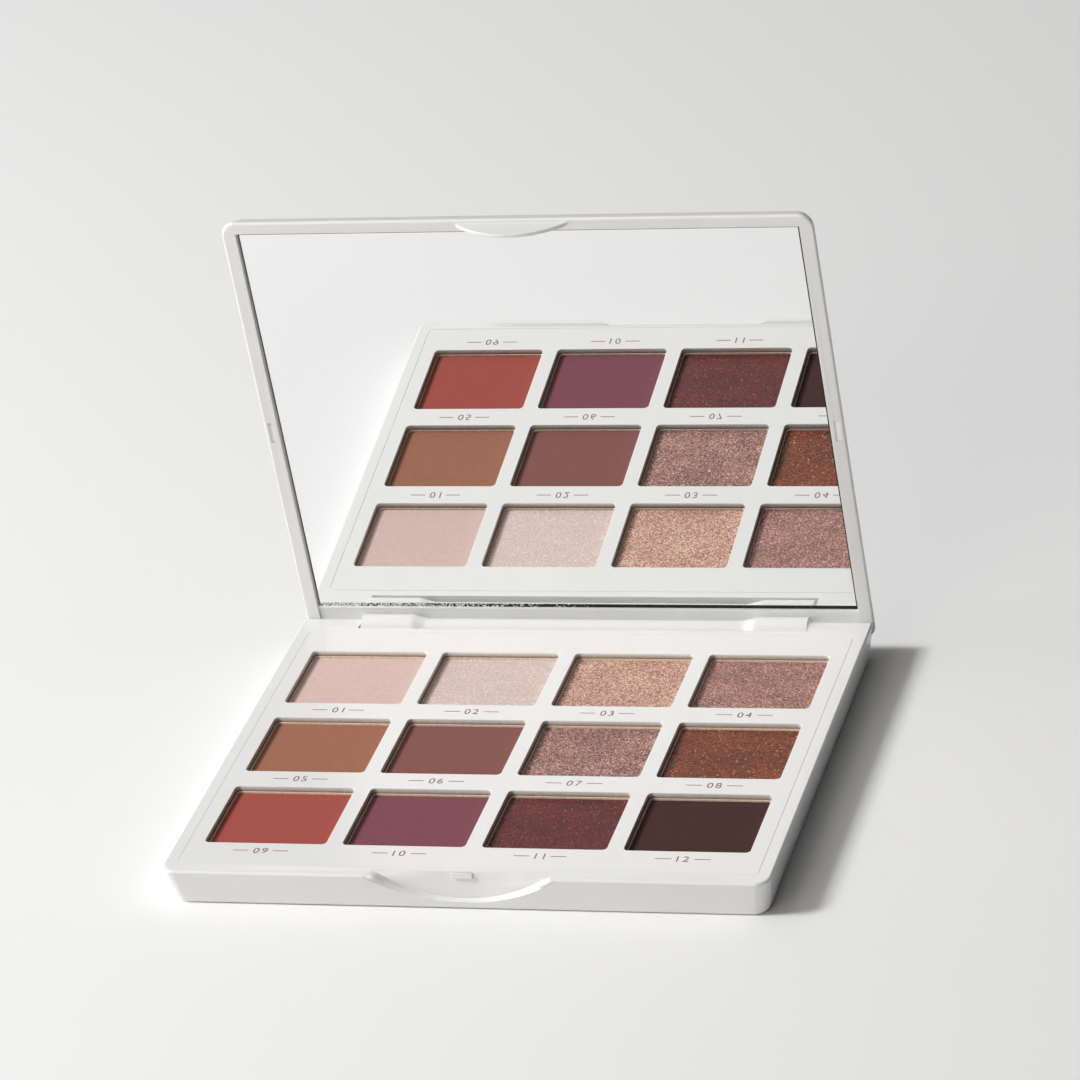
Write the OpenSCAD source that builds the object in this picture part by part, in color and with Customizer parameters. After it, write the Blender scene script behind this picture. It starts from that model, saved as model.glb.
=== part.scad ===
// Twelve-pan eyeshadow palette: a hinged white case with a mirror in its lid.
// The underside of the base lies on z = 0, with the closed case centred on the origin in X and Y.
// +X runs along the hinge and +Y points back to the hinge. The lid is drawn held open.

/* [Pans] */
// Width of one window, along the hinge
window_w = 26; // [18:0.1:34]
// Depth of one window, front to back
window_d = 21.8; // [16:0.1:30]
// Corner radius of a window
window_r = 1; // [0.7:0.1:3]
// Strip of plate between two columns of windows
column_rib = 3.55; // [2.6:0.05:8]
// Strip of plate between two rows of windows
row_rib = 6.1; // [4.6:0.1:10]
// Height of a pan
pan_h = 3.6; // [2:0.1:6]
// Sheet thickness of a pan
pan_t = 0.3; // [0.2:0.05:0.5]
// Gap between a pan and its window, all round
pan_gap = 0.15; // [0.05:0.05:0.3]
// Depth of a pan's rim below the plate's face
pan_drop = 1.1; // [0.4:0.1:2]
// Depth of the powder's face below the rim of its pan
powder_drop = 0.3; // [0.1:0.1:1]
// Radius of the glue dot under a pan
glue_r = 5; // [2:0.5:7]
// Thickness of the glue dot
glue_t = 0.2; // [0.1:0.05:0.4]

/* [Pan plate] */
// Thickness of the plate round the windows
plate_t = 1.1; // [0.8:0.1:1.8]
// Plate in front of the first row of windows
front_margin = 7.87; // [5:0.01:14]
// Plate behind the last row of windows
back_margin = 8.14; // [5:0.01:14]
// Plate beside the outer columns of windows
side_margin = 3.325; // [2.4:0.005:10]
// Corner radius of the plate
plate_r = 1.2; // [0.5:0.1:3]
// Gap between the plate and the rim of the base
plate_gap = 0.12; // [0.05:0.01:0.3]
// Wall of a well under the plate
well_t = 0.9; // [0.6:0.1:1.1]
// Floor of a well
well_floor = 0.9; // [0.6:0.1:2]
// Radius of a locating post under the plate
post_r = 1.2; // [0.8:0.1:1.4]
// Radial gap between a post and its boss
post_gap = 0.05; // [0.02:0.01:0.1]
// Wall of a boss
boss_t = 0.75; // [0.5:0.05:1]

/* [Base] */
// Width of the rim beside the plate
side_rim = 2.83; // [2:0.01:6]
// Width of the rim in front of the plate
front_rim = 3.41; // [3.2:0.01:8]
// Ledge between the plate and the hinge barrel
back_ledge = 1.74; // [1.2:0.01:5]
// Thickness of the floor
tray_floor = 1.3; // [1:0.1:2.5]
// Height of the ribs that carry the wells
rib_h = 1.3; // [0.8:0.1:3]
// Width of a rib
rib_w = 1; // [0.6:0.1:2]
// Width of the shoulder that the plate rests on
shoulder = 1.2; // [0.8:0.1:2]
// Corner radius of the case
case_r = 3; // [2.2:0.1:6]
// Round along the outer edge of both rims
rim_round = 0.5; // [0.2:0.1:0.6]
// Slope of the outer walls, from the rim to the underside
base_draft = 1.4; // [0.4:0.1:2]
// Round under the outer walls
base_round = 0.7; // [0.3:0.1:1]

/* [Thumb notch and tab] */
// Depth of the notch behind the front of the rim
notch_d = 2.45; // [2.1:0.05:2.8]
// Height of the notch at its middle
notch_h = 6.5; // [4:0.1:6.8]
// Radius of the notch's arc at its back wall
notch_r = 31.4; // [16:0.1:60]
// Flare of the arc at the front
notch_flare = 1; // [0.2:0.1:1.2]
// Length of the flare, front to back
flare_d = 1.3; // [0.5:0.1:1.8]
// Width of the catch nub on the notch's back wall
nub_w = 4.4; // [2:0.1:10]
// Height of the catch nub
nub_h = 1.3; // [0.6:0.1:2]
// How far the catch nub stands out
nub_out = 0.35; // [0.1:0.05:0.4]
// Depth of the nub's top below the rim
nub_drop = 0.4; // [0.1:0.1:2]
// Width of the lid's thumb tab where it leaves the lid
tab_w = 24.7; // [12:0.1:34]
// How far the tab reaches past the lid's rim
tab_h = 5; // [2:0.1:5.5]
// Thickness of the tab
tab_t = 0.8; // [0.6:0.05:1]
// Setback of the tab from the front of the case
tab_inset = 1.2; // [0.6:0.05:1.2]

/* [Lid] */
// Angle between the open lid and the base
lid_angle = 84.6; // [0:0.1:110]
// Gap between the two rims when the lid is shut
lid_gap = 0.1; // [0.05:0.05:0.3]
// Width of the lid's rim at the sides
lid_side_rim = 3.1; // [2.2:0.1:7]
// Setback of the lid's front edge from the front of the base
lid_setback = 0.6; // [0:0.1:0.8]
// Width of the lid's rim at the front
lid_front_rim = 2.7; // [2.4:0.1:7]
// Depth of the mirror's face below the lid's rim
mirror_recess = 1.1; // [0.5:0.1:2]
// Thickness of the mirror
glass_t = 1.2; // [0.8:0.1:2]
// Gap round the mirror
mirror_gap = 0.2; // [0.1:0.05:0.4]
// Distance from the hinge's axis to the mirror
mirror_to_axis = 3.7; // [3.5:0.1:9]
// Corner radius of the mirror
mirror_r = 0.5; // [0.2:0.1:2]
// Thickness of the adhesive sheet behind the mirror
tape_t = 0.2; // [0.1:0.05:0.5]
// Margin of the adhesive sheet inside the mirror
tape_margin = 2; // [0.5:0.5:6]
// Thickness of the lid's panel behind the mirror
lid_wall = 1.4; // [1:0.1:3]
// Slope of the lid's outer walls
lid_draft = 0.7; // [0.2:0.1:1.5]
// Round along the lid's outer edge
lid_round = 1.2; // [0.4:0.1:1.6]
// Width of the bead below the mirror
bead_w = 0.5; // [0.3:0.1:0.7]
// How far the bead stands above the mirror's face
bead_h = 0.35; // [0.1:0.05:0.5]
// Length of the keying notch on each side rim
key_l = 5; // [2:0.1:10]
// Width of the keying notch
key_w = 1.2; // [0.6:0.1:1.6]
// Depth of the keying notch
key_d = 0.25; // [0.1:0.05:0.6]

/* [Hinge] */
// Radius of the lid's barrel at its two bosses
barrel_r = 3.15; // [2.6:0.05:4]
// Radius of the barrel between the bosses
waist_r = 2.25; // [1.4:0.05:2.5]
// Length of a boss
boss_l = 11; // [8:0.5:20]
// Length of the slope from a boss to the waist
slope_l = 3.7; // [1:0.1:8]
// Length of each ear of the base
ear_l = 13.8; // [8:0.1:24]
// Radius of an ear, which is also the axis's depth below the rim
ear_r = 1.9; // [1.6:0.05:2.2]
// Gap between a boss and its ear
end_gap = 0.35; // [0.2:0.05:0.6]
// Gap round the barrel
barrel_gap = 0.15; // [0.1:0.05:0.3]
// Radius of a hinge pin
pin_r = 0.75; // [0.5:0.05:0.9]
// Depth of a pin in the barrel
pin_in = 11.5; // [6:0.5:14]
// Setback of a pin's end from the side of the base
pin_inset = 0.7; // [0.5:0.1:2]
// Radial gap between a pin and its ear
pin_fit = 0.01; // [0.01:0.01:0.03]
// Radial running gap between a pin and the barrel
pin_run = 0.05; // [0.03:0.01:0.1]
// Room under the swinging lid behind the ears
swing_gap = 0.77; // [0.3:0.01:1]

/* [Hidden] */
$fn = 64;
eps = 0.01;
cut = 1;
columns = 4;
rows = 3;
count = columns * rows;
white = [0.93, 0.925, 0.915];
steel = [0.72, 0.72, 0.73];
tin = [0.80, 0.79, 0.77];
shades = [
    [0.86, 0.75, 0.71], [0.85, 0.77, 0.73], [0.79, 0.62, 0.56], [0.64, 0.48, 0.44],
    [0.64, 0.44, 0.35], [0.55, 0.36, 0.34], [0.62, 0.47, 0.44], [0.48, 0.30, 0.24],
    [0.65, 0.33, 0.29], [0.51, 0.32, 0.35], [0.42, 0.25, 0.25], [0.29, 0.21, 0.20]
];

pitch_x = window_w + column_rib;
pitch_y = window_d + row_rib;
grid_w = columns * pitch_x - column_rib;
grid_d = rows * pitch_y - row_rib;
plate_w = grid_w + 2 * side_margin;
plate_d = front_margin + grid_d + back_margin;

case_w = plate_w + 2 * (plate_gap + side_rim);
case_d = front_rim + plate_gap + plate_d + plate_gap + back_ledge + barrel_gap + 2 * barrel_r;
front_y = -case_d / 2;
hinge_y = case_d / 2 - barrel_r;
plate_y = front_y + front_rim + plate_gap + plate_d / 2;
grid_y = plate_y + (front_margin - back_margin) / 2;

pan_z = tray_floor + rib_h + well_floor + glue_t;
base_h = pan_z + pan_h + pan_drop;
well_z = tray_floor + rib_h;
hinge_z = base_h - ear_r;
swing_r = norm([barrel_r, ear_r + lid_gap]);
relief_z = hinge_z - swing_r - swing_gap;
relief_h = base_h - relief_z + cut;

lid_z = base_h + lid_gap;
mirror_z = lid_z + mirror_recess;
tape_z = mirror_z + glass_t;
lid_h = mirror_recess + glass_t + tape_t + lid_wall;
mirror_w = case_w - 2 * (lid_side_rim + mirror_gap);
mirror_front = front_y + lid_setback + lid_front_rim + mirror_gap;
mirror_back = hinge_y - mirror_to_axis;
mirror_d = mirror_back - mirror_front;
mirror_y = (mirror_front + mirror_back) / 2;

barrel_l = case_w - 2 * ear_l;
waist_l = barrel_l - 2 * (boss_l + slope_l);
tab_r = (pow(tab_w / 2, 2) + pow(tab_h, 2)) / (2 * tab_h);
pin_l = pin_in + ear_l - pin_inset;

function two(n) = n < 10 ? str("0", n) : str(n);
function pan_name(i) = str("pan_", two(i + 1));
function powder_name(i) = str("powder_", two(i + 1));
function pan_x(i) = (i % columns - (columns - 1) / 2) * pitch_x;
function pan_y(i) = grid_y + ((rows - 1) / 2 - floor(i / columns)) * pitch_y;

// A rectangle with round corners, centred on the origin.
module round_rect(w, d, r) {
    square([w - 2 * r, d], center = true);
    square([w, d - 2 * r], center = true);
    for (sx = [-1, 1], sy = [-1, 1])
        translate([sx * (w / 2 - r), sy * (d / 2 - r)])
            circle(r);
}

// A flat block with round corners that stands on z = 0.
module round_block(w, d, h, r) {
    linear_extrude(h)
        round_rect(w, d, r);
}

// One thin slice of the case's outline, drawn in by a given amount all round and at the front.
module outline_slice(inset, z, setback = 0) {
    translate([0, setback / 2, z])
        linear_extrude(eps)
            round_rect(case_w - 2 * inset, case_d - setback - 2 * inset, case_r);
}

// A rod along X, centred on a given x.
module rod_x(r, l, x) {
    translate([x - l / 2, 0, 0])
        rotate([0, 90, 0])
            cylinder(r = r, h = l);
}

// Repeats its children at every pan.
module at_each_pan() {
    for (i = [0:count - 1])
        translate([pan_x(i), pan_y(i), 0])
            children();
}

// Repeats its children where four wells meet.
module at_each_crossing() {
    for (c = [1:columns - 1], r = [1:rows - 1])
        translate([(c - columns / 2) * pitch_x, grid_y + (r - rows / 2) * pitch_y, 0])
            children();
}

// Puts its children, which are drawn with the lid shut, at the open lid.
module opened() {
    translate([0, hinge_y, hinge_z])
        rotate([-lid_angle, 0, 0])
            translate([0, -hinge_y, -hinge_z])
                children();
}

// Outside of the base: sloping walls with a round along the rim and along the underside.
module base_outside() {
    hull() {
        outline_slice(base_draft + base_round, 0);
        outline_slice(base_draft + 0.3 * base_round, 0.3 * base_round);
        outline_slice(base_draft * (1 - base_round / base_h), base_round);
        outline_slice(0, base_h - rim_round);
        outline_slice(0.13 * rim_round, base_h - 0.5 * rim_round);
        outline_slice(0.5 * rim_round, base_h - 0.13 * rim_round);
        outline_slice(rim_round, base_h - eps);
    }
}

// Room for the plate, and below its shoulder for the wells.
module base_pocket() {
    translate([0, plate_y, base_h - plate_t])
        round_block(plate_w + 2 * plate_gap, plate_d + 2 * plate_gap, plate_t + cut, plate_r + plate_gap);
    difference() {
        translate([0, plate_y, tray_floor])
            round_block(plate_w - 2 * shoulder, plate_d - 2 * shoulder, base_h, plate_r);
        for (r = [0:rows - 1])
            translate([-grid_w / 2, pan_y(r * columns) - rib_w / 2, tray_floor])
                cube([grid_w, rib_w, rib_h]);
        at_each_crossing()
            translate([0, 0, tray_floor])
                cylinder(r = post_r + post_gap + boss_t, h = base_h - plate_t - 2 * tray_floor);
    }
}

// Room for the lid's barrel and for the lid's back edge as it swings.
module hinge_room() {
    translate([0, hinge_y, hinge_z]) {
        rod_x(barrel_r + barrel_gap, barrel_l + 2 * end_gap, 0);
        translate([-barrel_l / 2 - end_gap, -barrel_r - barrel_gap, 0])
            cube([barrel_l + 2 * end_gap, 3 * barrel_r, ear_r + cut]);
        translate([-barrel_l / 2 - end_gap, -barrel_r / 2, relief_z - hinge_z])
            cube([barrel_l + 2 * end_gap, 3 * barrel_r, relief_h]);
        difference() {
            translate([-case_w / 2 - cut, 0, relief_z - hinge_z])
                cube([case_w + 2 * cut, 3 * barrel_r, relief_h]);
            rod_x(ear_r, case_w + 4 * cut, 0);
        }
    }
}

// The thumb notch: a shallow arc that flares towards the front.
module notch() {
    translate([0, front_y, base_h - notch_h + notch_r])
        rotate([-90, 0, 0]) {
            cylinder(r = notch_r, h = notch_d);
            cylinder(r1 = notch_r + notch_flare, r2 = notch_r, h = flare_d);
            translate([0, 0, -cut])
                cylinder(r = notch_r + notch_flare, h = cut + eps);
        }
}

// A hole along X through an ear, from the side of the base to the barrel.
module pin_hole(side) {
    translate([0, hinge_y, hinge_z])
        rod_x(pin_r + pin_fit, ear_l + 2 * cut, side * (case_w / 2 - ear_l / 2));
}

module base_tray() {
    color(white) {
        difference() {
            base_outside();
            base_pocket();
            hinge_room();
            notch();
            for (side = [-1, 1])
                pin_hole(side);
            at_each_crossing()
                translate([0, 0, tray_floor])
                    cylinder(r = post_r + post_gap, h = base_h);
        }
        translate([-nub_w / 2, front_y + notch_d - nub_out, base_h - nub_drop - nub_h])
            cube([nub_w, nub_out + eps, nub_h]);
    }
}

module pan_plate() {
    color(white)
        difference() {
            union() {
                translate([0, plate_y, base_h - plate_t])
                    round_block(plate_w, plate_d, plate_t, plate_r);
                at_each_pan()
                    translate([0, 0, well_z])
                        round_block(window_w + 2 * well_t, window_d + 2 * well_t,
                                    base_h - plate_t / 2 - well_z, window_r + well_t);
                at_each_crossing()
                    translate([0, 0, well_z])
                        cylinder(r = post_r, h = base_h - plate_t / 2 - well_z);
            }
            at_each_pan()
                translate([0, 0, well_z + well_floor])
                    round_block(window_w, window_d, base_h, window_r);
        }
}

module pan_glue() {
    color("ivory")
        at_each_pan()
            translate([0, 0, pan_z - glue_t])
                cylinder(r = glue_r, h = glue_t);
}

// A pressed tin tray.
module pan(i) {
    color(tin)
        translate([pan_x(i), pan_y(i), pan_z])
            difference() {
                round_block(window_w - 2 * pan_gap, window_d - 2 * pan_gap, pan_h, window_r - pan_gap);
                translate([0, 0, pan_t])
                    pan_inside(pan_h);
            }
}

// The space inside a pan, up to a given height above its floor.
module pan_inside(h) {
    wall = pan_gap + pan_t;
    round_block(window_w - 2 * wall, window_d - 2 * wall, h, window_r - wall);
}

// The pressed powder that fills a pan.
module powder(i) {
    color(shades[i])
        translate([pan_x(i), pan_y(i), pan_z + pan_t])
            pan_inside(pan_h - pan_t - powder_drop);
}

module hinge_pin(side) {
    color(steel)
        translate([0, hinge_y, hinge_z])
            rod_x(pin_r, pin_l, side * (case_w / 2 - pin_inset - pin_l / 2));
}

// Outside of the shut lid: sloping walls with a round along the rim and along the outer edge.
module lid_outside() {
    translate([0, 0, lid_z])
        hull() {
            outline_slice(rim_round, 0, lid_setback);
            outline_slice(0.5 * rim_round, 0.13 * rim_round, lid_setback);
            outline_slice(0.13 * rim_round, 0.5 * rim_round, lid_setback);
            outline_slice(0, rim_round, lid_setback);
            outline_slice(lid_draft, lid_h - lid_round, lid_setback);
            outline_slice(lid_draft + 0.3 * lid_round, lid_h - 0.3 * lid_round, lid_setback);
            outline_slice(lid_draft + lid_round, lid_h - eps, lid_setback);
        }
}

// Recess for the mirror, its adhesive sheet and the floor behind its bead.
module lid_recess() {
    recess_w = mirror_w + 2 * mirror_gap;
    translate([0, mirror_y, mirror_z])
        round_block(recess_w, mirror_d + 2 * mirror_gap, glass_t + tape_t, mirror_r + mirror_gap);
    difference() {
        translate([-recess_w / 2, mirror_front - mirror_gap, lid_z - cut])
            cube([recess_w, hinge_y + mirror_gap - mirror_front, mirror_recess + cut]);
        translate([-recess_w / 2, mirror_back + mirror_gap, mirror_z - bead_h])
            cube([recess_w, bead_w, bead_h + eps]);
    }
}

// The barrel and the web that joins it to the lid, drawn about the hinge's axis.
module lid_barrel() {
    for (side = [-1, 1]) {
        rod_x(barrel_r, boss_l, side * (barrel_l - boss_l) / 2);
        mirror([side < 0 ? 1 : 0, 0, 0])
            translate([waist_l / 2, 0, 0])
                rotate([0, 90, 0])
                    cylinder(r1 = waist_r, r2 = barrel_r, h = slope_l);
    }
    rod_x(waist_r, barrel_l, 0);
    intersection() {
        rod_x(barrel_r, barrel_l, 0);
        translate([-case_w / 2, 0, -2 * barrel_r])
            cube([case_w, 2 * barrel_r, 3 * barrel_r]);
    }
    translate([-barrel_l / 2, 0, 0])
        cube([barrel_l, barrel_r - eps, mirror_z - hinge_z + eps]);
}

// The lens-shaped tab that hangs from the front of the shut lid.
module tab() {
    translate([0, front_y + tab_inset, lid_z - tab_h + tab_r])
        rotate([-90, 0, 0])
            intersection() {
                cylinder(r = tab_r, h = tab_t);
                translate([-tab_w, tab_r - tab_h - mirror_recess, 0])
                    cube([2 * tab_w, 2 * tab_h, tab_t]);
            }
}

module lid_shell() {
    color(white)
        opened()
            difference() {
                union() {
                    difference() {
                        lid_outside();
                        lid_recess();
                    }
                    translate([0, hinge_y, hinge_z])
                        lid_barrel();
                    tab();
                }
                for (side = [-1, 1]) {
                    translate([0, hinge_y, hinge_z])
                        rod_x(pin_r + pin_run, pin_in + cut, side * (barrel_l - pin_in + cut) / 2);
                    translate([side * (case_w / 2 - lid_side_rim / 2) - key_w / 2, -key_l / 2, lid_z - cut])
                        cube([key_w, key_l, key_d + cut]);
                }
            }
}

module mirror_tape() {
    color("gray")
        opened()
            translate([0, mirror_y, tape_z])
                round_block(mirror_w - 2 * tape_margin, mirror_d - 2 * tape_margin, tape_t, mirror_r);
}

module mirror_glass() {
    color([0.82, 0.85, 0.87])
        opened()
            translate([0, mirror_y, mirror_z])
                round_block(mirror_w, mirror_d, glass_t, mirror_r);
}

base_tray();
pan_plate();
pan_glue();
for (i = [0:count - 1]) {
    pan(i);
    powder(i);
}
hinge_pin(-1);  // hinge_pin_left
hinge_pin(1);  // hinge_pin_right
lid_shell();
mirror_tape();
mirror_glass();
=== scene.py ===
import logging
import math
from dataclasses import dataclass, field, replace
from enum import Enum
from typing import Callable, Optional, Sequence

import bmesh
import bpy
from mathutils import Matrix, Vector, noise


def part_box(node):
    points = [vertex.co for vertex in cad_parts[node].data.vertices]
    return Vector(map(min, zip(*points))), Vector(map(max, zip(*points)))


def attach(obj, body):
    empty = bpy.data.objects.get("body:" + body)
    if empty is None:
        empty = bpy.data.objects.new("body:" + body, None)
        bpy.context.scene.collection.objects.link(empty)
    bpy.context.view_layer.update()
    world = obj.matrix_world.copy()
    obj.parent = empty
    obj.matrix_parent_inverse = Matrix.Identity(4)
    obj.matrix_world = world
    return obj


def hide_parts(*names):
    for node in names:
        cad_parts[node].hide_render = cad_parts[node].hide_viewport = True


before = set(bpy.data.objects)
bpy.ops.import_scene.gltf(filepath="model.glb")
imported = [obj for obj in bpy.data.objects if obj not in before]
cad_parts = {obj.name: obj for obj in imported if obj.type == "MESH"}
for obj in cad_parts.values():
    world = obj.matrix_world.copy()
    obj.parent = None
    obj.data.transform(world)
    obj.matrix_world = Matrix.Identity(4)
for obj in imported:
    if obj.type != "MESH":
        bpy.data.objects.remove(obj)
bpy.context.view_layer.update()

log = logging.getLogger("palette")

MM = 0.001
LEVEL = 0.02 * MM  # heights closer than this are one level
NEAR = 0.1 * MM  # edges closer than this to a side lie on it
SHARP_TURN = 40  # degrees; edges that turn further look sharp
BASE_BODY = "base"
LID_BODY = "lid"
COLUMNS = 4
ROWS = 3
PAN_COUNT = COLUMNS * ROWS

Colour = tuple[float, float, float]
Socket = bpy.types.NodeSocket
Plane = tuple[Vector, Vector]
Section = list[tuple[float, float]]


# ---------------------------------------------------------------------------------------------
# Materials
# ---------------------------------------------------------------------------------------------


class Graph:
    """A material's node tree with its shader, and short calls for the nodes that the finishes use."""

    def __init__(self, name: str) -> None:
        """Makes an empty node material with one Principled shader.

        Args:
            name: The material's name.
        """
        self.material = bpy.data.materials.new(name)
        self.material.use_nodes = True
        self.tree = self.material.node_tree
        self.tree.nodes.clear()
        self.shader = self.tree.nodes.new("ShaderNodeBsdfPrincipled")
        output = self.tree.nodes.new("ShaderNodeOutputMaterial")
        self.link(self.shader.outputs["BSDF"], output.inputs["Surface"])
        self.place = self.tree.nodes.new("ShaderNodeTexCoord").outputs["Object"]

    def link(self, source: Socket, target: Socket) -> None:
        """Joins two sockets."""
        self.tree.links.new(source, target)

    def set(self, **values: object) -> None:
        """Sets constant values on the shader's own sockets; an underscore in a name stands for a space."""
        for name, value in values.items():
            self.shader.inputs[name.replace("_", " ")].default_value = value

    def colour(self, source: Socket) -> None:
        """Colours the surface."""
        self.link(source, self.shader.inputs["Base Color"])

    def finish(self, roughness: Socket, normal: Optional[Socket] = None) -> None:
        """Sets the surface's roughness and, if it is given, its direction."""
        self.link(roughness, self.shader.inputs["Roughness"])
        if normal is not None:
            self.link(normal, self.shader.inputs["Normal"])

    def stretched(self, scale: Sequence[float]) -> Socket:
        """The object's coordinates, scaled along each axis.

        Args:
            scale: Factor along X, Y and Z.

        Returns:
            The scaled vector's socket.
        """
        node = self.tree.nodes.new("ShaderNodeMapping")
        node.inputs["Scale"].default_value = scale
        self.link(self.place, node.inputs["Vector"])
        return node.outputs["Vector"]

    def noise(self, size: float, detail: float = 2.0, vector: Optional[Socket] = None) -> Socket:
        """A noise pattern.

        Args:
            size: Width of one blotch, in metres.
            detail: Number of finer octaves.
            vector: Coordinates to use in place of the object's own.

        Returns:
            The socket of the noise's value, from 0 to 1.
        """
        node = self.tree.nodes.new("ShaderNodeTexNoise")
        node.inputs["Scale"].default_value = 1 / size
        node.inputs["Detail"].default_value = detail
        self.link(vector or self.place, node.inputs["Vector"])
        return node.outputs["Fac"]

    def cells(self, size: float) -> Socket:
        """Random colours, one for each cell of a grain pattern.

        Args:
            size: Width of one grain, in metres.

        Returns:
            The socket of the cells' random colour.
        """
        node = self.tree.nodes.new("ShaderNodeTexVoronoi")
        node.inputs["Scale"].default_value = 1 / size
        self.link(self.place, node.inputs["Vector"])
        return node.outputs["Color"]

    def part(self, colour: Socket, channel: int) -> Socket:
        """One channel of a colour, as a value."""
        node = self.tree.nodes.new("ShaderNodeSeparateColor")
        self.link(colour, node.inputs["Color"])
        return node.outputs[channel]

    def coordinate(self, axis: int) -> Socket:
        """One of the object's coordinates, as a value."""
        node = self.tree.nodes.new("ShaderNodeSeparateXYZ")
        self.link(self.place, node.inputs["Vector"])
        return node.outputs[axis]

    def plus(self, first: Socket, second: Socket) -> Socket:
        """The sum of two values."""
        node = self.tree.nodes.new("ShaderNodeMath")
        node.operation = "ADD"
        self.link(first, node.inputs[0])
        self.link(second, node.inputs[1])
        return node.outputs["Value"]

    def between(
        self, value: Socket, low: float, high: float, start: float = 0.0, end: float = 1.0
    ) -> Socket:
        """Maps a value from one range to another and clamps it.

        Args:
            value: The socket to map.
            low: Result at the start of the range.
            high: Result at the end of the range.
            start: Where the range starts.
            end: Where the range ends.

        Returns:
            The mapped value's socket.
        """
        node = self.tree.nodes.new("ShaderNodeMapRange")
        for name, number in (("From Min", start), ("From Max", end), ("To Min", low), ("To Max", high)):
            node.inputs[name].default_value = number
        self.link(value, node.inputs["Value"])
        return node.outputs["Result"]

    def ramp(self, value: Socket, stops: Sequence[tuple[float, Colour]]) -> Socket:
        """Colours a value.

        Args:
            value: The socket to colour.
            stops: Places from 0 to 1, each with its colour.

        Returns:
            The colour's socket.
        """
        node = self.tree.nodes.new("ShaderNodeValToRGB")
        elements = node.color_ramp.elements
        while len(elements) < len(stops):
            elements.new(0.5)
        for element, (place, colour) in zip(elements, stops):
            element.position = place
            element.color = (*colour, 1.0)
        self.link(value, node.inputs["Fac"])
        return node.outputs["Color"]

    def shades(self, value: Socket, tint: Colour, *stops: tuple[float, float]) -> Socket:
        """Colours a value with darker and lighter shades of one colour.

        Args:
            value: The socket to colour.
            tint: The colour.
            stops: Places from 0 to 1, each with the factor that makes its shade.

        Returns:
            The colour's socket.
        """
        return self.ramp(value, [(place, scaled(tint, factor)) for place, factor in stops])

    def blend(self, share: Socket, first: Socket, second: Socket) -> Socket:
        """Mixes two colours.

        Args:
            share: How much of the second colour shows, from 0 to 1.
            first: The colour at 0.
            second: The colour at 1.

        Returns:
            The mixed colour's socket.
        """
        node = self.tree.nodes.new("ShaderNodeMix")
        node.data_type = "RGBA"
        self.link(share, node.inputs[0])
        self.link(first, node.inputs[6])
        self.link(second, node.inputs[7])
        return node.outputs[2]

    def bump(self, height: Socket, depth: float, normal: Optional[Socket] = None) -> Socket:
        """A bumped surface direction.

        Args:
            height: The pattern, from 0 to 1.
            depth: Height of the pattern, in metres.
            normal: Direction to add the bump to.

        Returns:
            The normal's socket.
        """
        node = self.tree.nodes.new("ShaderNodeBump")
        node.inputs["Distance"].default_value = depth
        self.link(height, node.inputs["Height"])
        if normal is not None:
            self.link(normal, node.inputs["Normal"])
        return node.outputs["Normal"]

    def tilted(self, colour: Socket, amount: float) -> Socket:
        """Surface directions that each grain tilts its own way.

        Args:
            colour: A random colour for each grain.
            amount: How far a grain may tilt, as a share of the normal's length.

        Returns:
            The normal's socket.
        """
        offset = self.tree.nodes.new("ShaderNodeVectorMath")
        offset.operation = "MULTIPLY_ADD"
        offset.inputs[1].default_value = (2 * amount,) * 3
        offset.inputs[2].default_value = (-amount,) * 3
        self.link(colour, offset.inputs[0])
        geometry = self.tree.nodes.new("ShaderNodeNewGeometry")
        total = self.tree.nodes.new("ShaderNodeVectorMath")
        self.link(geometry.outputs["Normal"], total.inputs[0])
        self.link(offset.outputs["Vector"], total.inputs[1])
        unit = self.tree.nodes.new("ShaderNodeVectorMath")
        unit.operation = "NORMALIZE"
        self.link(total.outputs["Vector"], unit.inputs[0])
        return unit.outputs["Vector"]


def scaled(colour: Colour, factor: float) -> Colour:
    """A colour made brighter or darker, kept within 0 to 1."""
    return tuple(min(1.0, c * factor) for c in colour)


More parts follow.
